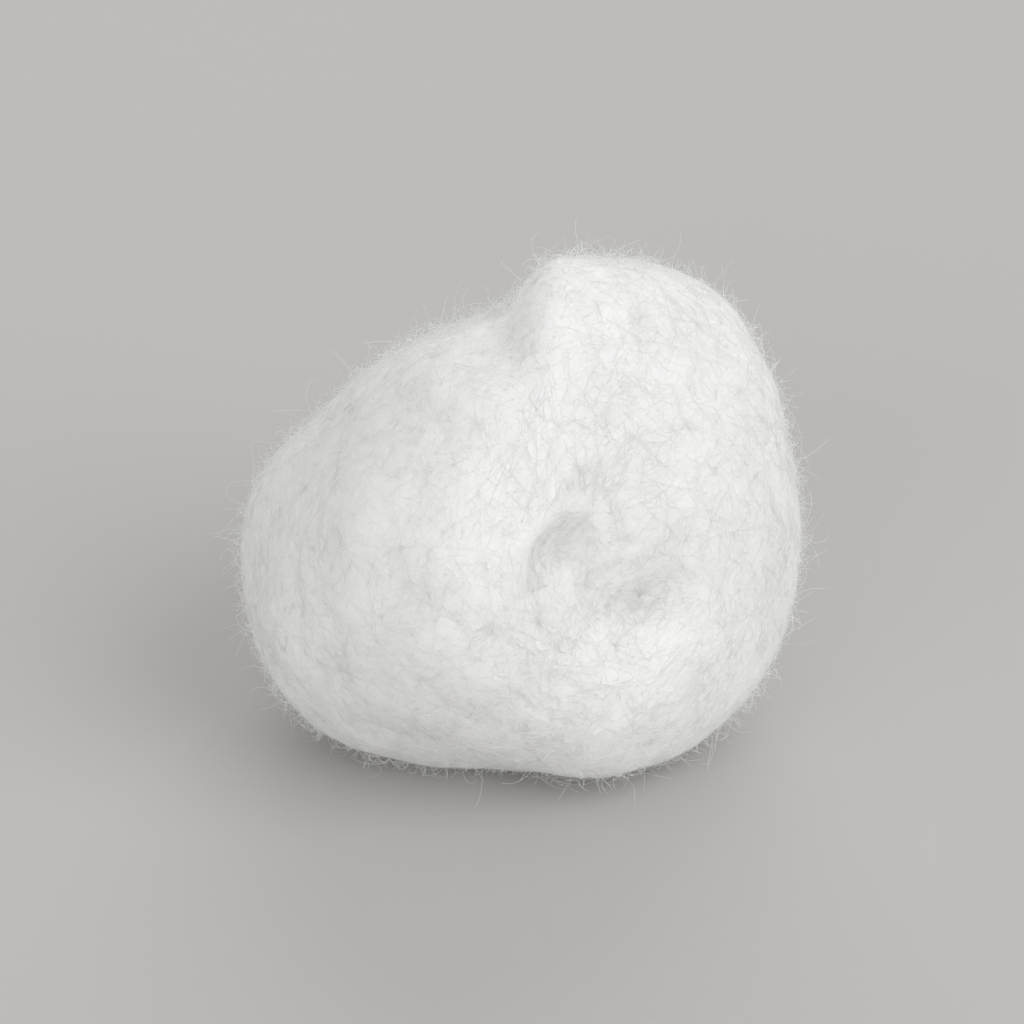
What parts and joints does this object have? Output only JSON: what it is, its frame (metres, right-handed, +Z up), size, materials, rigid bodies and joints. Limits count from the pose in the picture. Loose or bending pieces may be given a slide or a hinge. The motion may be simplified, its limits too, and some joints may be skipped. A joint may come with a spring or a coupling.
{
  "type": "cotton ball",
  "caption": "Soft rolled wad of white cotton wool with a swirl of its turns on each end, lying on its side; for wiping, dabbing, padding and packing.",
  "frame": {"origin": "on the surface the wad lies on, under the middle of its bounding box", "axes": "+Z up; the roll's axis runs along Y, with the larger end and its swirl facing -Y and looking up by 13 degrees; +X to the right of someone looking at that end"},
  "size_m": [0.0296, 0.0256, 0.0287],
  "materials": {
    "cotton": "matt, fuzzy, bleached cotton fibre"
  },
  "bodies": {
    "root": {"cotton_ball": "cotton"}
  },
  "joints": []
}
